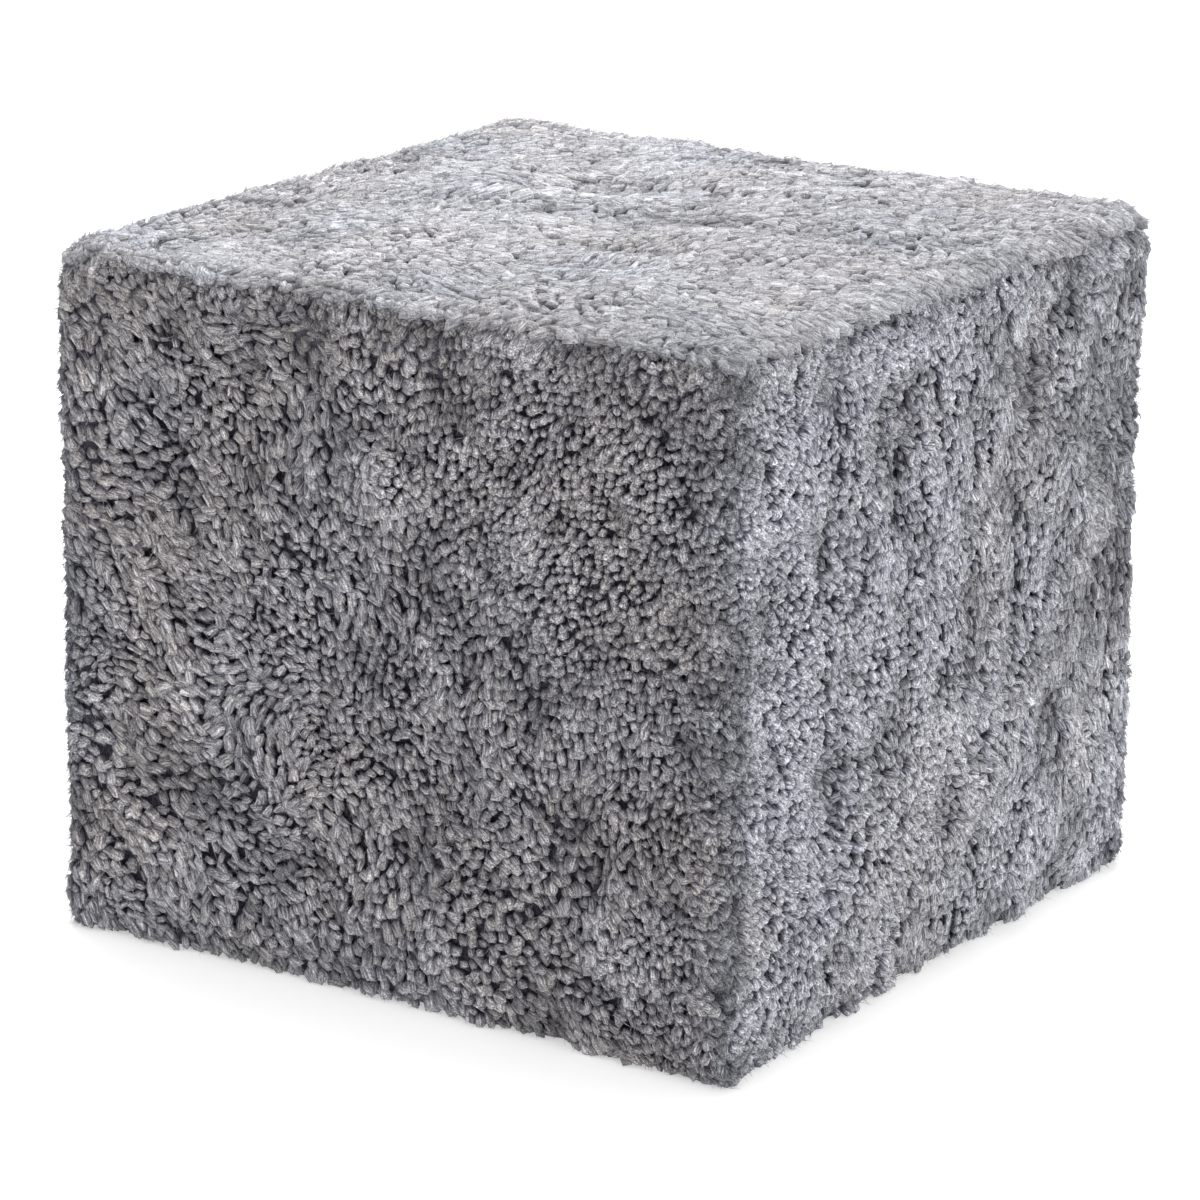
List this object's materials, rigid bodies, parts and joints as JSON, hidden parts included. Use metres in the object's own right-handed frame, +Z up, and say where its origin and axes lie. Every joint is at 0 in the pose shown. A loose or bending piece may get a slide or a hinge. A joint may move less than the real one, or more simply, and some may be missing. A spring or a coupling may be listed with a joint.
{
  "type": "cube pouf stool",
  "caption": "Cube-shaped padded pouf stool covered all round in short curly grey shearling, with a plain flat base that rests on the floor.",
  "frame": {"origin": "middle of the base, on the floor", "axes": "+Z up, the front panel faces -Y, the right panel faces +X"},
  "size_m": [0.4533, 0.4522, 0.3968],
  "materials": {
    "shearling": "short curly sheepskin wool, silver grey with darker roots, soft and matt",
    "base_cloth": "plain charcoal woven cloth, matt"
  },
  "bodies": {
    "root": {"cushion_body": "base_cloth", "fleece_top": "shearling", "fleece_front": "shearling", "fleece_right": "shearling", "fleece_back": "shearling", "fleece_left": "shearling"}
  },
  "joints": []
}
